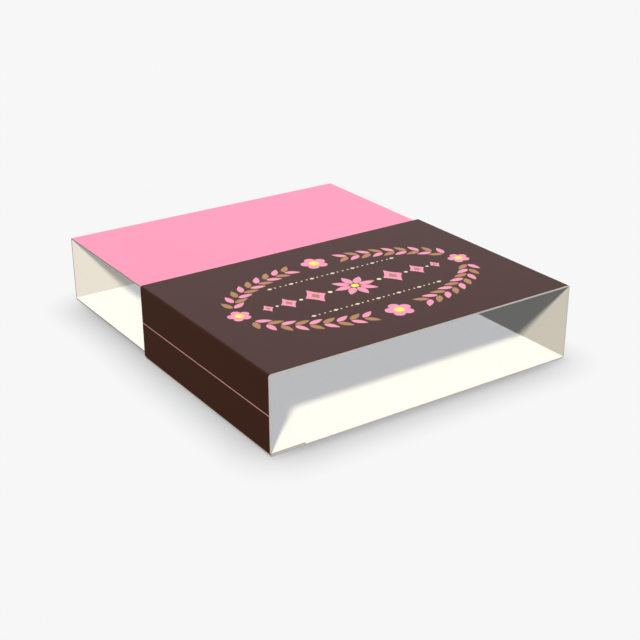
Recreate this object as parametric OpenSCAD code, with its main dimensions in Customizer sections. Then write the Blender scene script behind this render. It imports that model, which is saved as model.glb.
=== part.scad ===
// Sliding drawer gift box, made of two tubes of creased card that cross at right angles.
// The sleeve is open at the front and the back, the drawer at the left and the right, and
// the drawer slides through the sleeve from front to back. Closed, each tube's walls close
// the other's open ends.
// Each tube is one blank, wrapped into a loop and glued along one lap on its floor. Its
// panels meet on the crease lines, which run along the middle of each rounded fold.
// X runs left to right, Y front to back and Z up, from the middle of the sleeve's underside.

/* [Sleeve] */
// Outside width of the sleeve, left to right
sleeve_w = 180; // [100:1:300]
// Length of the sleeve, from its front opening to its back opening
sleeve_l = 122.5; // [70:0.5:240]
// Outside height of the sleeve
sleeve_h = 41; // [20:0.5:90]
// Thickness of the sleeve's card
sleeve_card_t = 0.85; // [0.4:0.05:1.5]
// Inside radius of the sleeve's folds
sleeve_fold_r = 0.5; // [0.2:0.05:2]
// Width of the sleeve's glue flap, from the outer face of the left panel
sleeve_flap_w = 19; // [12:0.5:30]

/* [Drawer] */
// Thickness of the drawer's card
drawer_card_t = 0.85; // [0.4:0.05:1.5]
// Inside radius of the drawer's folds
drawer_fold_r = 0.4; // [0.2:0.05:2]
// Width of the drawer's glue flap, from the outer face of the front panel
drawer_flap_w = 19; // [12:0.5:30]
// How far the drawer is pushed out of the back, from its closed place
drawer_slide_l = 90; // [0:0.5:132.5]

/* [Fit] */
// Gap between each open end of the drawer and the sleeve's side panel
side_gap = 0.8; // [0.3:0.05:2]
// Gap between the drawer's underside and the sleeve's glue flap
under_gap = 0.15; // [0.1:0.05:1]
// Gap between the drawer's top and the sleeve's top panel
top_gap = 0.65; // [0.3:0.05:2]
// How far the closed drawer stays inside the sleeve's edge, at the front and at the back
end_setback = 0.25; // [0:0.05:2]

/* [Glued lap] */
// Thickness of the glue between a flap and the bottom panel under it
glue_t = 0.1; // [0.05:0.01:0.2]
// Bare margin round the glue
glue_margin = 2; // [1:0.5:3]
// How far a bottom panel's cut edge stays behind the corner that folds over it
cut_edge_setback = 0.4; // [0.2:0.1:2]

/* [Hidden] */

// The drawer's tube runs across the sleeve, so its length is an inside width of the sleeve
drawer_w = sleeve_w - 2 * (sleeve_card_t + side_gap);
// Outside depth of the drawer, front to back
drawer_l = sleeve_l - 2 * end_setback;
// The drawer's underside clears the sleeve's floor, glue and flap
drawer_z = 2 * sleeve_card_t + glue_t + under_gap;
// Outside height of the drawer
drawer_h = sleeve_h - sleeve_card_t - top_gap - drawer_z;

sleeve_colour = "#4c3833";
drawer_colour = "#ffa2be";
inside_colour = "#f4f0df";
glue_colour = "#e3dcc0";

$fn = 96;

// ---- Sections, drawn with the card's outer face at the outside of the tube ----

// Half of a fold: a quarter ring's share between the angles from and from + 45
module half_fold(card_t, fold_r, from) {
    out_r = fold_r + card_t;
    intersection() {
        difference() {
            circle(out_r);
            circle(fold_r);
        }
        rotate(from)
            polygon([[0, 0], [2 * out_r, 0], [2 * out_r, 2 * out_r]]);
    }
}

// One panel: a flat that runs along +X with its outer face at Y = 0, and half of a fold at
// each end that has a crease
module panel_section(flat_l, card_t, fold_r, crease_at_start = true, crease_at_end = true) {
    out_r = fold_r + card_t;
    translate([0, -card_t])
        square([flat_l, card_t]);
    if (crease_at_start)
        translate([0, -out_r])
            half_fold(card_t, fold_r, 90);
    if (crease_at_end)
        translate([flat_l, -out_r])
            half_fold(card_t, fold_r, 45);
}

// A tube stands on Y = 0, is w wide and h high outside, and has its lap at the lower left
module top_section(w, h, card_t, fold_r) {
    out_r = fold_r + card_t;
    translate([out_r - w / 2, h])
        panel_section(w - 2 * out_r, card_t, fold_r);
}

module plain_side_section(w, h, card_t, fold_r) {
    out_r = fold_r + card_t;
    translate([w / 2, h - out_r])
        rotate(-90)
            panel_section(h - 2 * out_r, card_t, fold_r);
}

module bottom_section(w, card_t, fold_r) {
    out_r = fold_r + card_t;
    translate([w / 2 - out_r, 0])
        rotate(180)
            panel_section(w - out_r - cut_edge_setback, card_t, fold_r, crease_at_end = false);
}

// The side that carries the flap ends above the bottom panel, which runs on under it
module lap_side_section(w, h, card_t, fold_r) {
    out_r = fold_r + card_t;
    lap_h = card_t + glue_t;
    translate([-w / 2, lap_h + out_r])
        rotate(90)
            panel_section(h - lap_h - 2 * out_r, card_t, fold_r);
}

module flap_section(w, flap_w, card_t, fold_r) {
    out_r = fold_r + card_t;
    translate([flap_w - w / 2, card_t + glue_t])
        rotate(180)
            panel_section(flap_w - out_r, card_t, fold_r, crease_at_start = false);
}

module glue_section(w, flap_w, card_t, fold_r) {
    glue_from = fold_r + card_t + glue_margin;
    translate([glue_from - w / 2, card_t])
        square([flap_w - glue_margin - glue_from, glue_t]);
}

// ---- The two tubes ----

// Sleeve: the section's X stays X, and the tube runs front to back
module along_sleeve(len = sleeve_l) {
    rotate([90, 0, 0])
        linear_extrude(len, center = true)
            children();
}

// Drawer: the section's X points to the back, and the tube runs left to right
module along_drawer(len = drawer_w) {
    translate([0, drawer_slide_l, drawer_z])
        rotate([90, 0, 90])
            linear_extrude(len, center = true)
                children();
}

// ---- Sleeve ----

module sleeve_top_panel() {
    color(sleeve_colour)
        along_sleeve()
            top_section(sleeve_w, sleeve_h, sleeve_card_t, sleeve_fold_r);
}

module sleeve_left_panel() {
    color(sleeve_colour)
        along_sleeve()
            lap_side_section(sleeve_w, sleeve_h, sleeve_card_t, sleeve_fold_r);
}

module sleeve_right_panel() {
    color(sleeve_colour)
        along_sleeve()
            plain_side_section(sleeve_w, sleeve_h, sleeve_card_t, sleeve_fold_r);
}

module sleeve_bottom_panel() {
    color(sleeve_colour)
        along_sleeve()
            bottom_section(sleeve_w, sleeve_card_t, sleeve_fold_r);
}

module sleeve_glue_flap() {
    color(inside_colour)
        along_sleeve()
            flap_section(sleeve_w, sleeve_flap_w, sleeve_card_t, sleeve_fold_r);
}

module sleeve_glue_seam() {
    color(glue_colour)
        along_sleeve(sleeve_l - 2 * glue_margin)
            glue_section(sleeve_w, sleeve_flap_w, sleeve_card_t, sleeve_fold_r);
}

// ---- Drawer ----

module drawer_top_panel() {
    color(drawer_colour)
        along_drawer()
            top_section(drawer_l, drawer_h, drawer_card_t, drawer_fold_r);
}

module drawer_front_panel() {
    color(drawer_colour)
        along_drawer()
            lap_side_section(drawer_l, drawer_h, drawer_card_t, drawer_fold_r);
}

module drawer_rear_panel() {
    color(drawer_colour)
        along_drawer()
            plain_side_section(drawer_l, drawer_h, drawer_card_t, drawer_fold_r);
}

module drawer_bottom_panel() {
    color(drawer_colour)
        along_drawer()
            bottom_section(drawer_l, drawer_card_t, drawer_fold_r);
}

module drawer_glue_flap() {
    color(inside_colour)
        along_drawer()
            flap_section(drawer_l, drawer_flap_w, drawer_card_t, drawer_fold_r);
}

module drawer_glue_seam() {
    color(glue_colour)
        along_drawer(drawer_w - 2 * glue_margin)
            glue_section(drawer_l, drawer_flap_w, drawer_card_t, drawer_fold_r);
}

sleeve_top_panel();
sleeve_left_panel();
sleeve_right_panel();
sleeve_bottom_panel();
sleeve_glue_flap();
sleeve_glue_seam();
drawer_top_panel();
drawer_front_panel();
drawer_rear_panel();
drawer_bottom_panel();
drawer_glue_flap();
drawer_glue_seam();
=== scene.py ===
"""Looks of the sliding drawer gift box: printed and bare card, cut edges, inks and a plain studio.

The card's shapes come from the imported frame. This script gives each of their faces a finish,
lays the printed ornament on the sleeve, and sets the floor, the lamps and the camera.
"""

import math

import bmesh
import bpy
from mathutils import Matrix, Vector


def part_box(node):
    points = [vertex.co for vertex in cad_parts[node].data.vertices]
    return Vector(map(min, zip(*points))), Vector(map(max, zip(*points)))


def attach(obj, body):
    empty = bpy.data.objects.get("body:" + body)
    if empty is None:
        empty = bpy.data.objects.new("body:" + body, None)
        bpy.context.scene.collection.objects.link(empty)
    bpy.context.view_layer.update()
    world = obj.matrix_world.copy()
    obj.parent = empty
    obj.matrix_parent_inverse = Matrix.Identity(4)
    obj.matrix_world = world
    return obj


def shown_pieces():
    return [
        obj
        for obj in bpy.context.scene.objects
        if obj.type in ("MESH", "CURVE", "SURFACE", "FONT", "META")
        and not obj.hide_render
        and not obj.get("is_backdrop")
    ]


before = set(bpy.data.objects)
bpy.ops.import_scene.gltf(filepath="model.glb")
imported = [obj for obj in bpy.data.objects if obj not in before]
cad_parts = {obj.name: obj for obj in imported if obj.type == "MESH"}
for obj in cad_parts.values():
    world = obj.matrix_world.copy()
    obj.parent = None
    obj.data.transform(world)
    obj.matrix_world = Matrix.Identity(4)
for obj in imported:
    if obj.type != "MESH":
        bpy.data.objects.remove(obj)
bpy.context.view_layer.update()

MM = 0.001

# ---- The card's panels, and the place of each finish in a panel's list ----
SLEEVE = ["sleeve_top_panel", "sleeve_left_panel", "sleeve_right_panel", "sleeve_bottom_panel"]
DRAWER = ["drawer_top_panel", "drawer_front_panel", "drawer_rear_panel", "drawer_bottom_panel"]
ROOFS = ["sleeve_top_panel", "drawer_top_panel"]
OUTSIDE, INSIDE, CUT_END, LAP_EDGE = range(4)

# ---- Colours, linear ----
BROWN = (0.0545, 0.0215, 0.0128)
PINK = (0.95, 0.305, 0.458)
INK_PINK = (0.90, 0.33, 0.47)
INK_TAN = (0.44, 0.23, 0.10)
INK_CREAM = (0.92, 0.84, 0.56)
INK_YELLOW = (0.86, 0.85, 0.10)
LINE_PINK = (0.67, 0.35, 0.355)
BARE_CARD = (0.93, 0.94, 0.865)
BARE_CLOUD = (0.93, 0.905, 0.81)
BARE_FLECK = (0.60, 0.52, 0.40)
# Painted shade in the gap under the fold at the sleeve's lap
LAP_PAINTED_SHADE = (0.10, 0.065, 0.05)
SLEEVE_CUT = (0.60, 0.60, 0.585)
# Painted shade: the drawer's cut edges are a darker copy of the sleeve's cut-edge tone
DRAWER_CUT_PAINTED_SHADE = (0.41, 0.40, 0.39)
LAP_CUT = (0.82, 0.80, 0.79)
CUT_GRIT = (0.72, 0.71, 0.68)
# Painted shade on the cut edges next to the table
CUT_PAINTED_SHADE = (0.42, 0.425, 0.41)
GLUE = (0.60, 0.52, 0.34)

# ---- Wear, painted shade and relief of the card, in metres ----
# Chips in the print start at a cut end and reach this far
END_WEAR = 0.3 * MM
# A crease's painted shade and chips are strongest this near to the tube's corner, and end at the reach
CREASE_CORE = 0.3 * MM
CREASE_REACH = 1.3 * MM
# Painted shade on a cut edge, darkest next to the table, fades out between these heights above the table
TABLE_SHADE_FULL = 1.5 * MM
TABLE_SHADE_NONE = 4.0 * MM
# The width of the painted shade on the bottom panel, under the fold at the sleeve's left, and how softly
# it ends
LAP_SHADE_W = 0.8 * MM
LAP_SHADE_FADE = 0.2 * MM
GRAIN_DEPTH = 0.02 * MM
GLUE_DEPTH = 0.1 * MM

# ---- Gloss, wear and painted shade of the card, as shares ----
PRINT_SPECULAR = 0.01
# A crease gets this much painted shade, a darker tone with this share of the ink's brightness
CREASE_PAINTED_SHADE = 0.45
CREASE_SHADE_TONE = 0.3
CREASE_CHIPS = 0.03
END_CHIPS = 0.20
# How strongly the sleeve's cut edges get painted shade next to the table
SLEEVE_TABLE_SHADE = 0.5
# Noise is mostly between these values
NOISE_LOW = 0.3
NOISE_HIGH = 0.7

# ---- The print on the sleeve, in millimetres ----
# How far a film of ink reaches into the card and out of it, and further out on another ink
INK_SUNK = 0.03
INK_PROUD = 0.02
INK_OVER_INK = 0.01
LINE_HEIGHT = 20.6
LINE_W = 0.55
LINE_STEPS = 24

# The garland's oval, and how many places for a pair of leaves are spread along it
GARLAND_HALF_W = 68.0
GARLAND_HALF_H = 37.0
GARLAND_PLACES = 50
# A leaf's length and width, its angle to the stalk in degrees, and how far its root is from it
GARLAND_LEAF = (8.4, 3.5)
LEAF_SPREAD = 38
LEAF_OFFSET = 0.5
# No leaves grow this near to the axes that the blossoms stand on
GAP_AT_SIDES = 14.5
GAP_AT_ENDS = 6.5
# The blossoms, and their eyes as a share of their radius
SIDE_BLOSSOM_R = 7.4
END_BLOSSOM_R = 6.0
BLOSSOM_EYE = 0.36

# The rosette in the middle: a leaf's length and width, and how far from the middle it starts
ROSETTE_LEAVES = 8
ROSETTE_LEAF = (9.5, 4.4)
ROSETTE_INSET = 2.6
ROSETTE_EYE_R = 2.2

# The row on each side of the rosette. Each step is a bead and a lozenge: the bead's radius and X,
# and the lozenge's half width, half height and X
ROW = ((1.2, 15.2, 6.0, 8.5, 24.0), (1.0, 32.6, 4.6, 6.4, 39.8), (0.8, 46.6, 3.0, 4.2, 51.8))
# A lozenge's tan core, as a share of its size
LOZENGE_CORE = 0.42

# The dotted rules: how far from the middle they lie, and how many beads each has to either side
RULE_Y = 20.0
RULE_BEADS = 12
RULE_PITCH = 3.2
RULE_BEAD_R = 0.5
RULE_LOZENGE = (1.6, 1.1)
RULE_LOZENGE_EVERY = 4

# ---- The camera, from a fit to the photograph's straight edges ----
CAMERA_AT = Vector((-339.774, -470.5, 280.574)) * MM
CAMERA_AZIMUTH = -34.0817
CAMERA_ELEVATION = 24.0349
CAMERA_ROLL = -0.199
CAMERA_LENS = 69.647
CAMERA_SENSOR_W = 36.0

# ---- Light, as the brightness that each gives a white surface that faces it. TRAVEL is the way
# that the light goes, and ANGLE is how wide the lamp looks, in degrees ----
SKY = (0.278, 0.278, 0.295)
KEY = (0.921, 0.842, 0.725)
KEY_TRAVEL = (0.539, 0.539, -0.650)
KEY_ANGLE = 5.2
TOP_FILL = (0.245, 0.252, 0.290)
TOP_FILL_TRAVEL = (0.0, 0.0, -1.0)
FRONT_FILL = (0.244, 0.225, 0.222)
FRONT_FILL_TRAVEL = (0.0, 1.0, 0.0)
REAR_FILL = (0.55, 0.55, 0.56)
REAR_FILL_TRAVEL = (-0.707, -0.707, 0.0)
SHEEN = (3.75, 4.6, 5.8)
SHEEN_TRAVEL = (-0.293, -0.405, -0.866)
SHEEN_ANGLE = 70.0
FLOOR_LAMP = (0.911, 0.911, 0.896)
FLOOR_LAMP_TRAVEL = (-0.055, -0.081, -1.0)
FLOOR_LAMP_ANGLE = 57.8
CONTACT_LAMP = (0.144, 0.144, 0.142)
CONTACT_LAMP_TRAVEL = (0.0, -0.087, -1.0)
CONTACT_LAMP_ANGLE = 7.5

# ---- The background, and the floor's colour to the camera and to diffuse light ----
BACKGROUND = 0.93
FLOOR_SEEN = 0.70
FLOOR_UNSEEN = 0.02
# From the middle of the floor to each edge, in metres
FLOOR_HALF = 6.0


# ---- Shader graphs ----

class Graph:
    """A material with a Principled shader, and short ways to add nodes to it."""

    def __init__(self, name):
        self.material = bpy.data.materials.new(name)
        self.material.use_nodes = True
        self.tree = self.material.node_tree
        self.shader = self.tree.nodes["Principled BSDF"]
        self.place = self.tree.nodes.new("ShaderNodeTexCoord").outputs["Object"]

    def add(self, kind, inputs=None, **settings):
        """A new node with these values or links on its inputs, and these settings of its own."""
        node = self.tree.nodes.new(kind)
        for key, value in settings.items():
            setattr(node, key, value)
        for key, value in (inputs or {}).items():
            self.set(node.inputs[key], value)
        return node

    def set(self, socket, value):
        if isinstance(value, bpy.types.NodeSocket):
            self.tree.links.new(value, socket)
        else:
            socket.default_value = value

    def math(self, operation, a, b=0.0):
        return self.add("ShaderNodeMath", {0: a, 1: b}, operation=operation).outputs[0]

    def place_on(self, axis):
        """A point's place on an axis, in metres."""
        return self.add("ShaderNodeSeparateXYZ", {0: self.place}).outputs[axis]

    def noise(self, scale, detail=2.0, stretch=(1, 1, 1), rough=0.5):
        """Noise from 0 to 1 with about scale spots per metre."""
        spread = self.add("ShaderNodeMapping", {"Vector": self.place, "Scale": stretch})
        inputs = {"Vector": spread.outputs[0], "Scale": scale, "Detail": detail, "Roughness": rough}
        return self.add("ShaderNodeTexNoise", inputs).outputs["Fac"]

    def between(self, value, low, high, to_low=0.0, to_high=1.0):
        """to_low where value is low or less, to_high where it is high or more, and smooth between."""
        inputs = {"Value": value, "From Min": low, "From Max": high, "To Min": to_low, "To Max": to_high}
        return self.add("ShaderNodeMapRange", inputs, interpolation_type="SMOOTHSTEP").outputs[0]

    def vary(self, noise, to_low=0.0, to_high=1.0):
        """A value that goes from to_low to to_high with the noise."""
        return self.between(noise, NOISE_LOW, NOISE_HIGH, to_low, to_high)

    def mix(self, factor, a, b, blend="MIX"):
        """Blends colour b into colour a by the factor."""
        node = self.add("ShaderNodeMix", data_type="RGBA", blend_type=blend)
        for key, value in ((0, factor), (6, a), (7, b)):
            self.set(node.inputs[key], (*value, 1.0) if isinstance(value, tuple) else value)
        return node.outputs[2]

    def finish(self, colour, roughness, height, bump, depth=GRAIN_DEPTH, specular=0.5):
        """Sets the shader's colour and gloss, and its relief from a height. Returns the material."""
        self.set(self.shader.inputs["Base Color"], colour)
        self.set(self.shader.inputs["Roughness"], roughness)
        self.shader.inputs["Specular IOR Level"].default_value = specular
        inputs = {"Height": height, "Strength": bump, "Distance": depth}
        self.set(self.shader.inputs["Normal"], self.add("ShaderNodeBump", inputs).outputs[0])
        return self.material


def shaded(colour, share):
    """The colour at this share of its brightness."""
    return tuple(share * part for part in colour)


# ---- Materials ----

def depth_inside(graph, axis, span):
    """How far a point lies inside a span, a (centre, half size) on an axis, in metres."""
    centre, half = span
    from_centre = graph.math("ABSOLUTE", graph.math("SUBTRACT", graph.place_on(axis), centre))
    return graph.math("SUBTRACT", half, from_centre)


def near_end(graph, tube):
    """1 at a tube's cut ends, and 0 past the end wear."""
    return graph.between(depth_inside(graph, tube["along"], tube["ends"]), 0.0, END_WEAR, 1.0, 0.0)


def near_crease(graph, tube):
    """1 along a tube's four creases, where two panels meet, and 0 past their reach."""
    near_upright = graph.between(depth_inside(graph, tube["across"], tube["sides"]),
                                 CREASE_CORE, CREASE_REACH, 1.0, 0.0)
    near_level = graph.between(depth_inside(graph, 2, tube["heights"]),
                               CREASE_CORE, CREASE_REACH, 1.0, 0.0)
    return graph.math("MULTIPLY", near_upright, near_level)


def print_fibre(graph):
    """The card's grain, as it shows through print and ink."""
    return graph.noise(scale=1800, detail=5.0, stretch=(1.0, 0.45, 1.0), rough=0.6)


def printed_card(name, ink, tube):
    """Matt print on stiff card: fibre grain, faint uneven ink, painted crease shade and a few chips."""
    graph = Graph(name)
    fibre = print_fibre(graph)
    cloud = graph.noise(scale=38, detail=3.0)
    tone = graph.math("ADD", graph.vary(fibre, -0.04, 0.04), graph.vary(cloud, 0.99, 1.01))
    shade = graph.add("ShaderNodeCombineColor", {0: tone, 1: tone, 2: tone}).outputs[0]
    colour = graph.mix(1.0, ink, shade, "MULTIPLY")
    crease = near_crease(graph, tube)
    # Painted shade along the creases: the ink darkens towards each crease
    painted_crease_shade = graph.math("MULTIPLY", crease, CREASE_PAINTED_SHADE)
    colour = graph.mix(painted_crease_shade, colour, shaded(ink, CREASE_SHADE_TONE))
    worn_end = graph.math("MULTIPLY", near_end(graph, tube), END_CHIPS)
    worn_crease = graph.math("MULTIPLY", crease, CREASE_CHIPS)
    chips = graph.between(graph.noise(scale=2600, detail=4.0, rough=0.65), 0.56, 0.64)
    wear = graph.math("MULTIPLY", graph.math("MAXIMUM", worn_end, worn_crease), chips)
    colour = graph.mix(wear, colour, BARE_CARD)
    roughness = graph.vary(fibre, 0.46, 0.55)
    return graph.finish(colour, roughness, height=fibre, bump=0.22, specular=PRINT_SPECULAR)


def bare_card(name, lap_shade_to=None):
    """Uncoated cream board: soft fibres, a few darker flecks, no shine. Where an X is given, the board
    to its left gets painted shade."""
    graph = Graph(name)
    fibre = graph.noise(scale=1500, detail=6.0, stretch=(1.0, 0.35, 1.0), rough=0.65)
    cloud = graph.noise(scale=30, detail=3.0)
    flecks = graph.between(graph.noise(scale=2200, detail=2.0), 0.73, 0.78, 0.0, 0.35)
    colour = graph.mix(graph.between(fibre, 0.3, 0.75), BARE_CARD, shaded(BARE_CARD, 0.955))
    colour = graph.mix(graph.between(cloud, 0.35, 0.7, 0.0, 0.5), colour, BARE_CLOUD)
    colour = graph.mix(flecks, colour, BARE_FLECK)
    if lap_shade_to is not None:
        # Painted shade: the board to the left of the given X is darker, under the fold
        lap_shade_mask = graph.between(graph.place_on(0), lap_shade_to, lap_shade_to + LAP_SHADE_FADE, 1.0, 0.0)
        colour = graph.mix(lap_shade_mask, colour, LAP_PAINTED_SHADE)
    return graph.finish(colour, roughness=0.86, height=fibre, bump=0.35, specular=0.02)


def cut_card(name, tone, table_shade=0.0):
    """The board's cut edge: rough, in faint plies, gritty, and with painted shade next to the table."""
    graph = Graph(name)
    ply = graph.noise(scale=5200, detail=3.0, stretch=(0.25, 0.25, 0.25), rough=0.7)
    grit = graph.noise(scale=2400, detail=4.0)
    # Painted shade: the cut edge darkens towards the table
    painted_table_shade = graph.between(graph.place_on(2), TABLE_SHADE_FULL, TABLE_SHADE_NONE, table_shade, 0.0)
    colour = graph.mix(graph.between(ply, 0.35, 0.65), tone, shaded(tone, 0.86))
    colour = graph.mix(graph.between(grit, 0.45, 0.7, 0.0, 0.3), colour, CUT_GRIT)
    colour = graph.mix(painted_table_shade, colour, CUT_PAINTED_SHADE)
    return graph.finish(colour, roughness=0.9, height=ply, bump=0.5, specular=0.2)


def ink_film(name, ink):
    """A printed colour: even, with the card's grain just showing through."""
    graph = Graph(name)
    fibre = print_fibre(graph)
    colour = graph.mix(graph.between(fibre, 0.35, 0.8, 0.0, 0.10), ink, BROWN)
    roughness = graph.vary(fibre, 0.44, 0.52)
    return graph.finish(colour, roughness, height=fibre, bump=0.18, specular=PRINT_SPECULAR)


def dried_glue(name):
    """Dried carton glue: amber, half gloss, with small runs."""
    graph = Graph(name)
    runs = graph.noise(scale=420, detail=3.0, stretch=(1.0, 0.3, 1.0))
    colour = graph.mix(graph.vary(runs), GLUE, shaded(GLUE, 0.8))
    roughness = graph.vary(runs, 0.3, 0.5)
    return graph.finish(colour, roughness, height=runs, bump=0.4, depth=GLUE_DEPTH)


# ---- Finishes of the card's faces ----

def tube_of(nodes, along):
    """A tube's two level axes, its (centre, half size) on each axis, and its middle. The tube runs
    along one level axis, and its side panels face the other."""
    boxes = [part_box(name) for name in nodes]
    low = [min(box[0][k] for box in boxes) for k in range(3)]
    high = [max(box[1][k] for box in boxes) for k in range(3)]
    spans = [((a + b) / 2, (b - a) / 2) for a, b in zip(low, high)]
    across = 1 - along
    return {"along": along, "across": across, "ends": spans[along], "sides": spans[across],
            "heights": spans[2], "middle": Vector([centre for centre, _ in spans])}


def cover(node, finishes):
    """Replaces a node's materials with these finishes, and returns its mesh."""
    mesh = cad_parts[node].data
    mesh.materials.clear()
    for finish in finishes:
        mesh.materials.append(finish)
    return mesh


def dress(node, tube, finishes):
    """Gives a panel's outer faces, inner faces and cut ends their finishes. A fourth one waits for
    dress_lap_edge."""
    for face in cover(node, finishes).polygons:
        outwards = face.center - tube["middle"]
        outwards[tube["along"]] = 0.0
        if abs(face.normal[tube["along"]]) > 0.5:
            face.material_index = CUT_END
        elif outwards.dot(face.normal) > 0:
            face.material_index = OUTSIDE
        else:
            face.material_index = INSIDE


def dress_lap_edge(node, axis, side):
    """Gives a panel's cut edge at the glued lap its finish. The edge faces along the axis where side
    is 1, and against it where side is -1."""
    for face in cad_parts[node].data.polygons:
        if face.normal[axis] * side > 0.9:
            face.material_index = LAP_EDGE


def dress_sleeve(bare, cut, lap):
    """Brown outside and bare inside, with painted shade where the bottom panel ends under the fold."""
    tube = tube_of(SLEEVE, along=1)
    brown = printed_card("brown_print", BROWN, tube)
    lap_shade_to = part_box("sleeve_bottom_panel")[0].x + LAP_SHADE_W
    # Bare card with painted shade under the fold
    lap_shaded_board = bare_card("bare_card_painted_lap_shade", lap_shade_to)
    for node in SLEEVE:
        inside = lap_shaded_board if node == "sleeve_bottom_panel" else bare
        dress(node, tube, (brown, inside, cut, lap))
    dress("sleeve_glue_flap", tube, (bare, bare, cut, lap))
    dress_lap_edge("sleeve_bottom_panel", 0, -1)
    dress_lap_edge("sleeve_glue_flap", 0, 1)


def dress_drawer(bare, cut, lap):
    """Pink outside and bare inside."""
    tube = tube_of(DRAWER, along=0)
    pink = printed_card("pink_print", PINK, tube)
    for node in DRAWER:
        dress(node, tube, (pink, bare, cut, lap))
    dress("drawer_glue_flap", tube, (bare, bare, cut, lap))
    dress_lap_edge("drawer_bottom_panel", 1, -1)
    dress_lap_edge("drawer_glue_flap", 1, 1)


def dress_glue_seams():
    """Dried glue all over."""
    glue = dried_glue("dried_glue")
    for node in ("sleeve_glue_seam", "drawer_glue_seam"):
        cover(node, [glue])


def dress_card():
    """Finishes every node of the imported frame."""
    bare = bare_card("bare_card")
    lap = cut_card("lap_edge", LAP_CUT)
    dress_sleeve(bare, cut_card("cut_card", SLEEVE_CUT, SLEEVE_TABLE_SHADE), lap)
    # The drawer's cut edges take the darker tone, which is painted shade
    dress_drawer(bare, cut_card("drawer_cut_card_painted_shade", DRAWER_CUT_PAINTED_SHADE), lap)
    dress_glue_seams()


# ---- Outlines of the print, in millimetres ----

def placed(outline, x, y, turn=0.0):
    """The outline turned by this many degrees, and then moved to x, y."""
    c = math.cos(math.radians(turn))
    s = math.sin(math.radians(turn))
    return [(x + c * u - s * v, y + s * u + c * v) for u, v in outline]


def disc(radius, steps=32):
    """A circle about 0, 0."""
    return [(radius * math.cos(math.tau * i / steps), radius * math.sin(math.tau * i / steps))
            for i in range(steps)]


def leaf(length, width, lean=0.8, fullness=0.85, steps=14):
    """A pointed leaf that grows from 0, 0 along X. A lean under 1 makes it widest before its
    middle, and a fullness under 1 makes it rounder."""
    edge = []
    for i in range(steps + 1):
        t = i / steps
        edge.append((length * t, width / 2 * math.sin(math.pi * t ** lean) ** fullness))
    return edge + [(x, -y) for x, y in reversed(edge[1:-1])]


def blossom(radius, petals=5, waist=0.66, fullness=0.7, steps=60):
    """A flower about 0, 0 whose petals part at the waist, a share of its radius."""
    outline = []
    for i in range(steps):
        a = math.tau * i / steps
        r = radius * (waist + (1 - waist) * abs(math.cos(petals * a / 2)) ** fullness)
        outline.append((r * math.sin(a), r * math.cos(a)))
    return outline[::-1]


def lozenge(half_w, half_h, pinch=0.12, steps=6):
    """A diamond about 0, 0 with sides that curve in."""
    corners = [(half_w, 0.0), (0.0, half_h), (-half_w, 0.0), (0.0, -half_h)]
    outline = []
    for (x0, y0), (x1, y1) in zip(corners, corners[1:] + corners[:1]):
        for i in range(steps):
            t = i / steps
            inwards = 1 - pinch * math.sin(math.pi * t)
            outline.append(((x0 + (x1 - x0) * t) * inwards, (y0 + (y1 - y0) * t) * inwards))
    return outline


def round_ellipse(half_w, half_h, count, steps=3600):
    """Points evenly spread along an ellipse, each with the direction that it runs in."""
    fine = [(half_w * math.cos(math.tau * i / steps), half_h * math.sin(math.tau * i / steps))
            for i in range(steps + 1)]
    run = [0.0]
    for a, b in zip(fine, fine[1:]):
        run.append(run[-1] + math.dist(a, b))
    spots = []
    k = 1
    for i in range(count):
        while run[k] < run[-1] * (i + 0.5) / count:
            k += 1
        (x0, y0), (x1, y1) = fine[k - 1], fine[k]
        spots.append((x1, y1, math.degrees(math.atan2(y1 - y0, x1 - x0))))
    return spots


# ---- The ornament, from the middle of the sleeve's top ----

def garland(inks):
    """An oval of leaf pairs with a blossom at each of its four ends."""
    stalk = round_ellipse(GARLAND_HALF_W, GARLAND_HALF_H, GARLAND_PLACES)
    for i, (x, y, direction) in enumerate(stalk):
        if abs(x) < GAP_AT_SIDES or abs(y) < GAP_AT_ENDS:
            continue
        along = direction if (x > 0) == (y > 0) else direction + 180
        for side in (1, -1):
            off = math.radians(along + 90 * side)
            root_x = x + LEAF_OFFSET * math.cos(off)
            root_y = y + LEAF_OFFSET * math.sin(off)
            ink = inks["pink"] if (i + (side > 0)) % 2 else inks["tan"]
            ink.append(placed(leaf(*GARLAND_LEAF), root_x, root_y, along + LEAF_SPREAD * side))
    for x, y, radius in ((0, GARLAND_HALF_H, SIDE_BLOSSOM_R), (0, -GARLAND_HALF_H, SIDE_BLOSSOM_R),
                         (GARLAND_HALF_W, 0, END_BLOSSOM_R), (-GARLAND_HALF_W, 0, END_BLOSSOM_R)):
        inks["pink"].append(placed(blossom(radius), x, y))
        inks["yellow"].append(placed(disc(BLOSSOM_EYE * radius), x, y))


def rosette(inks):
    """Leaves round a yellow eye."""
    petal = placed(leaf(*ROSETTE_LEAF), ROSETTE_INSET, 0)
    for i in range(ROSETTE_LEAVES):
        inks["pink"].append(placed(petal, 0, 0, 360 / ROSETTE_LEAVES * i))
    inks["yellow"].append(disc(ROSETTE_EYE_R))


def lozenge_rows(inks):
    """A row of ever smaller lozenges on each side of the rosette, with a bead before each."""
    for side in (-1, 1):
        for bead_r, bead_x, half_w, half_h, x in ROW:
            core = lozenge(LOZENGE_CORE * half_w, LOZENGE_CORE * half_h)
            inks["cream"].append(placed(disc(bead_r, steps=20), side * bead_x, 0))
            inks["pink"].append(placed(lozenge(half_w, half_h), side * x, 0))
            inks["tan_over"].append(placed(core, side * x, 0))


def dotted_rules(inks):
    """Two rows of beads with a small lozenge at every fourth place."""
    for y in (-RULE_Y, RULE_Y):
        for i in range(-RULE_BEADS, RULE_BEADS + 1):
            bead = disc(RULE_BEAD_R, steps=12) if i % RULE_LOZENGE_EVERY else lozenge(*RULE_LOZENGE)
            inks["cream"].append(placed(bead, RULE_PITCH * i, y))


# ---- The print, as thin films of ink ----

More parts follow.
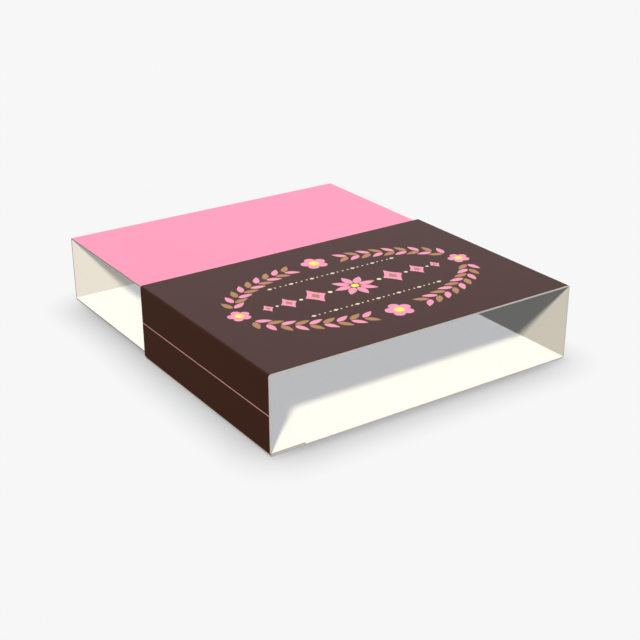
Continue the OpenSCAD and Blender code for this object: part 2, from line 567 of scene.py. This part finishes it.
def on_top(u, v, w):
    """A film on the top: its outline runs to the right and to the back."""
    return u, v, w


def on_side(side):
    """A film on the left or right side, -1 or 1: its outline runs to the back and up."""
    return lambda u, v, w: (side * w, u, v)


def film(name, outlines, low, high, finish, place=on_top):
    """Closed films with these outlines, from low to high in millimetres, that ride on the sleeve."""
    bm = bmesh.new()
    for outline in outlines:
        rings = [[bm.verts.new(Vector(place(u, v, w)) * MM) for u, v in outline] for w in (low, high)]
        bm.faces.new(rings[0][::-1])
        bm.faces.new(rings[1])
        for i in range(len(outline)):
            j = (i + 1) % len(outline)
            bm.faces.new((rings[0][i], rings[0][j], rings[1][j], rings[1][i]))
    bmesh.ops.recalc_face_normals(bm, faces=bm.faces)
    mesh = bpy.data.meshes.new(name)
    bm.to_mesh(mesh)
    bm.free()
    mesh.materials.append(finish)
    piece = bpy.data.objects.new(name, mesh)
    bpy.context.scene.collection.objects.link(piece)
    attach(piece, "sleeve")


def print_ornament():
    """The ornament on the top, one piece for each ink."""
    inks = {"pink": [], "tan": [], "tan_over": [], "cream": [], "yellow": []}
    garland(inks)
    rosette(inks)
    lozenge_rows(inks)
    dotted_rules(inks)
    colours = {"pink": INK_PINK, "tan": INK_TAN, "cream": INK_CREAM, "yellow": INK_YELLOW}
    finishes = {ink: ink_film("ink_" + ink, colour) for ink, colour in colours.items()}
    finishes["tan_over"] = finishes["tan"]
    over = {"tan_over": INK_OVER_INK, "yellow": INK_OVER_INK}
    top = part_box("sleeve_top_panel")[1].z / MM
    for ink, outlines in inks.items():
        film("ornament_" + ink, outlines, top - INK_SUNK, top + INK_PROUD + over.get(ink, 0.0),
             finishes[ink])


def print_pinstripes():
    """A thin line along the middle of the sleeve's left and right sides."""
    low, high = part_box("sleeve_left_panel")
    half_l = high.y / MM
    half_w = -low.x / MM
    finish = ink_film("ink_line", LINE_PINK)
    places = [-half_l + 2 * half_l * i / LINE_STEPS for i in range(LINE_STEPS + 1)]
    lower = [(y, LINE_HEIGHT - LINE_W / 2) for y in places]
    upper = [(y, LINE_HEIGHT + LINE_W / 2) for y in reversed(places)]
    for side, name in ((-1, "pinstripe_left"), (1, "pinstripe_right")):
        film(name, [lower + upper], half_w - INK_SUNK, half_w + INK_PROUD, finish, on_side(side))


# ---- Studio ----

def camera():
    """The photograph's viewpoint."""
    data = bpy.data.cameras.new("camera")
    data.lens = CAMERA_LENS
    data.sensor_width = CAMERA_SENSOR_W
    data.clip_start = 0.01
    data.clip_end = 50.0
    eye = bpy.data.objects.new("camera", data)
    eye.matrix_world = (Matrix.Translation(CAMERA_AT)
                        @ Matrix.Rotation(math.radians(CAMERA_AZIMUTH), 4, "Z")
                        @ Matrix.Rotation(math.radians(90.0 - CAMERA_ELEVATION), 4, "X")
                        @ Matrix.Rotation(math.radians(CAMERA_ROLL), 4, "Z"))
    bpy.context.scene.collection.objects.link(eye)
    bpy.context.scene.camera = eye


def group(name, objects):
    """A collection for light linking. It stays out of the scene, which holds the objects already."""
    collection = bpy.data.collections.new(name)
    for obj in objects:
        collection.objects.link(obj)
    return collection


def sun(name, brightness, travel, angle, receivers, shadow=True, gloss=True, diffuse=True,
        blockers=None):
    """A sun lamp that gives a white surface facing it this brightness, on the receivers alone.
    Where blockers are given, only they cast its shadow."""
    data = bpy.data.lights.new(name, "SUN")
    brightest = max(brightness)
    data.energy = math.pi * brightest
    data.color = [part / brightest for part in brightness]
    data.angle = math.radians(angle)
    data.use_shadow = shadow
    lamp = bpy.data.objects.new(name, data)
    lamp.rotation_euler = Vector(travel).to_track_quat("-Z", "Y").to_euler()
    lamp.light_linking.receiver_collection = receivers
    lamp.light_linking.blocker_collection = blockers
    lamp.visible_glossy = gloss
    lamp.visible_diffuse = diffuse
    bpy.context.scene.collection.objects.link(lamp)


def fill(name, brightness, travel, receivers):
    """A sun lamp that throws no shadow and gives no gloss."""
    sun(name, brightness, travel, 0.0, receivers, shadow=False, gloss=False)


def seen_ray(tree):
    """1 for what the camera sees, also in gloss and through glass, and 0 for diffuse light."""
    paths = tree.nodes.new("ShaderNodeLightPath")
    seen = paths.outputs["Is Camera Ray"]
    for kind in ("Is Glossy Ray", "Is Transmission Ray"):
        either = tree.nodes.new("ShaderNodeMath")
        either.operation = "MAXIMUM"
        tree.links.new(seen, either.inputs[0])
        tree.links.new(paths.outputs[kind], either.inputs[1])
        seen = either.outputs[0]
    return seen


def two_colours(tree, output_kind, shader_kind, unseen, seen):
    """Fills a node tree with a shader that has one colour for diffuse light and one that is seen."""
    tree.nodes.clear()
    output = tree.nodes.new(output_kind)
    mix = tree.nodes.new("ShaderNodeMixShader")
    for k, colour in ((1, unseen), (2, seen)):
        shader = tree.nodes.new(shader_kind)
        shader.inputs["Color"].default_value = (*colour, 1.0)
        tree.links.new(shader.outputs[0], mix.inputs[k])
    tree.links.new(seen_ray(tree), mix.inputs[0])
    tree.links.new(mix.outputs[0], output.inputs["Surface"])


def floor():
    """A wide pale floor. Its light comes from lamps of its own, and it throws little on the box."""
    material = bpy.data.materials.new("floor")
    material.use_nodes = True
    two_colours(material.node_tree, "ShaderNodeOutputMaterial", "ShaderNodeBsdfDiffuse",
                (FLOOR_UNSEEN,) * 3, (FLOOR_SEEN,) * 3)
    half = FLOOR_HALF
    mesh = bpy.data.meshes.new("floor")
    mesh.from_pydata([(-half, -half, 0), (half, -half, 0), (half, half, 0), (-half, half, 0)],
                     [], [(0, 1, 2, 3)])
    mesh.materials.append(material)
    obj = bpy.data.objects.new("floor", mesh)
    bpy.context.scene.collection.objects.link(obj)
    obj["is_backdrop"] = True
    return obj


def sky():
    """Even light from all round, in front of a plain pale background."""
    world = bpy.data.worlds.new("sky")
    bpy.context.scene.world = world
    world.use_nodes = True
    two_colours(world.node_tree, "ShaderNodeOutputWorld", "ShaderNodeBackground",
                SKY, (BACKGROUND,) * 3)


def studio():
    """The floor, the sky, lamps for the box alone and lamps for the floor alone. The shadow on the
    floor is the two top panels', and diffuse light passes the pieces by, so the sky's is even."""
    ground = group("lit_floor", [floor()])
    sky()
    box = group("lit_box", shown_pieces())
    roofs = group("roofs", [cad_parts[name] for name in ROOFS])
    sun("key", KEY, KEY_TRAVEL, KEY_ANGLE, box)
    fill("top_fill", TOP_FILL, TOP_FILL_TRAVEL, box)
    fill("front_fill", FRONT_FILL, FRONT_FILL_TRAVEL, box)
    fill("rear_fill", REAR_FILL, REAR_FILL_TRAVEL, box)
    sun("sheen", SHEEN, SHEEN_TRAVEL, SHEEN_ANGLE, box, shadow=False, diffuse=False)
    sun("floor_lamp", FLOOR_LAMP, FLOOR_LAMP_TRAVEL, FLOOR_LAMP_ANGLE, ground, blockers=roofs)
    sun("contact_lamp", CONTACT_LAMP, CONTACT_LAMP_TRAVEL, CONTACT_LAMP_ANGLE, ground, blockers=roofs)
    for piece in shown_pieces():
        piece.visible_diffuse = False


# ---- The box ----

dress_card()
print_ornament()
print_pinstripes()
camera()
studio()
bpy.context.scene.view_settings.view_transform = "Standard"
